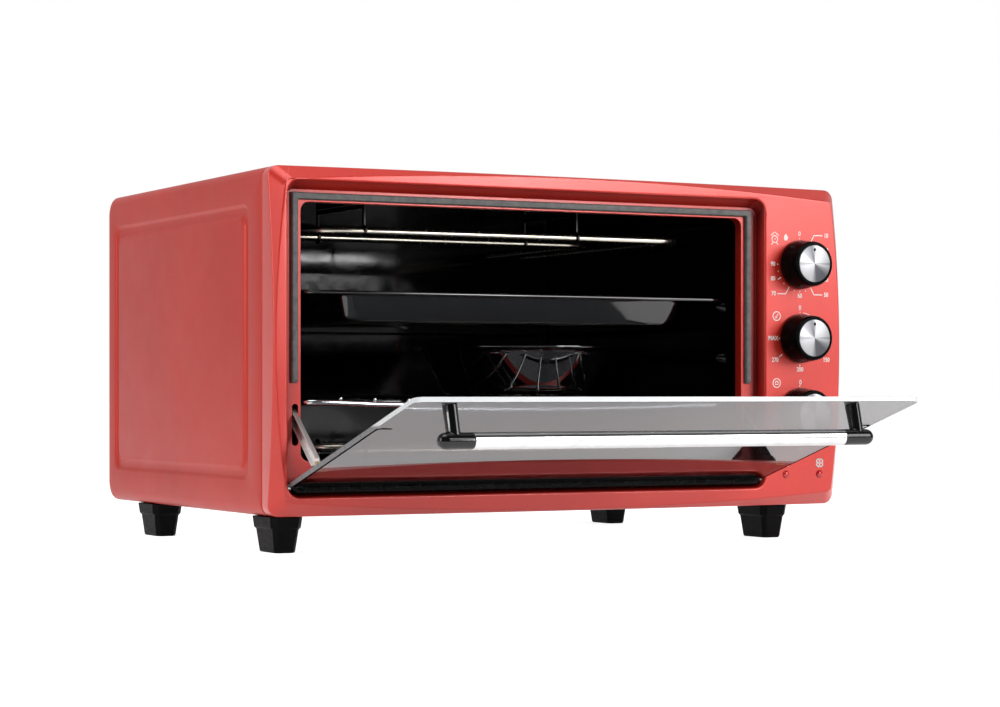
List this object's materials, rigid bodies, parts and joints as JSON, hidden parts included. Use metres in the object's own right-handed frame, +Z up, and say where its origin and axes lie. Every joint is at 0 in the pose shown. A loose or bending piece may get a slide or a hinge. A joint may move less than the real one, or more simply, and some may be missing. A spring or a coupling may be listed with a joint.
{
  "type": "mini oven",
  "caption": "Tabletop mini oven with a drop-down glass door on a bar handle, control knobs beside it, and a tray, wire rack and round pan inside.",
  "frame": {"origin": "middle of the bounding box on the plane the feet stand on, with the door part open as in the picture", "axes": "+X to the right seen from the front, +Y from the door towards the back, +Z up"},
  "size_m": [0.52, 0.605, 0.295],
  "materials": {
    "red_front": "satin metallic red enamel",
    "red_cabinet": "satin red enamel",
    "black_enamel": "gloss black enamel",
    "black_plastic": "satin black",
    "chrome": "bright",
    "zinc": "yellow passivated",
    "steel": "satin",
    "aluminium": "satin",
    "lamp_red": "gloss",
    "grey_rubber": "matte",
    "tinted_glass": "smooth grey tint",
    "mineral_wool": "matte",
    "ceramic": "matte"
  },
  "bodies": {
    "cabinet": {"front_frame": "red_front", "door_gasket": "grey_rubber", "side_panel_left": "red_cabinet", "side_panel_right": "red_cabinet", "top_panel": "red_cabinet", "bottom_panel": "steel", "back_panel": "red_cabinet", "oven_cavity": "black_enamel", "foot_front_left": "black_plastic", "foot_front_right": "black_plastic", "foot_rear_left": "black_plastic", "foot_rear_right": "black_plastic", "heater_upper": "steel", "heater_lower": "steel", "heater_holder_upper_left": "steel", "heater_holder_upper_right": "steel", "heater_holder_lower_left": "steel", "heater_holder_lower_right": "steel", "insulation_blanket": "mineral_wool", "heat_partition": "steel", "control_carrier": "steel", "timer_unit": "ceramic", "thermostat_unit": "ceramic", "selector_unit": "ceramic", "lamp_left": "lamp_red", "lamp_right": "lamp_red", "cord_gland": "black_plastic", "terminal_block": "ceramic", "hinge_spring_left": "zinc", "hinge_spring_right": "zinc"},
    "door": {"door_glass": "tinted_glass", "door_bottom_rail": "black_plastic", "hinge_pin_left": "steel", "hinge_pin_right": "steel", "handle_mount_left": "black_plastic", "handle_mount_right": "black_plastic", "handle_bar": "aluminium", "handle_screw_left": "steel", "handle_screw_right": "steel", "hinge_bracket_left": "zinc", "hinge_bracket_right": "zinc"},
    "arm_left": {"hinge_arm_left": "chrome"},
    "arm_right": {"hinge_arm_right": "chrome"},
    "timer": {"timer_knob": "black_plastic", "timer_knob_disc": "aluminium", "timer_shaft": "steel"},
    "thermostat": {"thermostat_knob": "black_plastic", "thermostat_knob_disc": "aluminium", "thermostat_shaft": "steel"},
    "selector": {"selector_knob": "black_plastic", "selector_knob_disc": "aluminium", "selector_shaft": "steel"},
    "tray": {"baking_tray": "black_enamel"},
    "rack": {"wire_rack": "chrome"},
    "pan": {"round_pan": "black_enamel"}
  },
  "joints": [
    {"name": "door_hinge", "type": "hinge", "parent": "cabinet", "child": "door", "pos_m": [-0.0327, -0.07777, 0.0507], "axis": [1, 0, 0], "range_deg": [-73, 17]},
    {"name": "arm_left_pivot", "type": "hinge", "parent": "door", "child": "arm_left", "pos_m": [-0.2376, -0.11206, 0.0685], "axis": [1, 0, 0], "range_deg": [-15, 63], "deforming": ["hinge_spring_left"]},
    {"name": "arm_right_pivot", "type": "hinge", "parent": "door", "child": "arm_right", "pos_m": [0.1722, -0.11206, 0.0685], "axis": [1, 0, 0], "range_deg": [-15, 63], "deforming": ["hinge_spring_right"]},
    {"name": "timer_turn", "type": "hinge", "parent": "cabinet", "child": "timer", "pos_m": [0.218, -0.08327, 0.23001], "axis": [0, 1, 0], "range_deg": [-30, 270]},
    {"name": "thermostat_turn", "type": "hinge", "parent": "cabinet", "child": "thermostat", "pos_m": [0.218, -0.08327, 0.16799], "axis": [0, 1, 0], "range_deg": [0, 270]},
    {"name": "selector_turn", "type": "hinge", "parent": "cabinet", "child": "selector", "pos_m": [0.218, -0.08327, 0.10599], "axis": [0, 1, 0], "range_deg": [0, 270]},
    {"name": "tray_slide", "type": "slide", "parent": "cabinet", "child": "tray", "axis": [0, -1, 0], "range_m": [0, 0.22]},
    {"name": "rack_slide", "type": "slide", "parent": "cabinet", "child": "rack", "axis": [0, -1, 0], "range_m": [0, 0.16]},
    {"name": "pan_lift", "type": "slide", "parent": "rack", "child": "pan", "axis": [0, 0, 1], "range_m": [0, 0.012]}
  ],
  "couplings": [
    {"joint": "arm_left_pivot", "follows": "door_hinge", "ratio": -0.856},
    {"joint": "arm_right_pivot", "follows": "door_hinge", "ratio": -0.856}
  ]
}
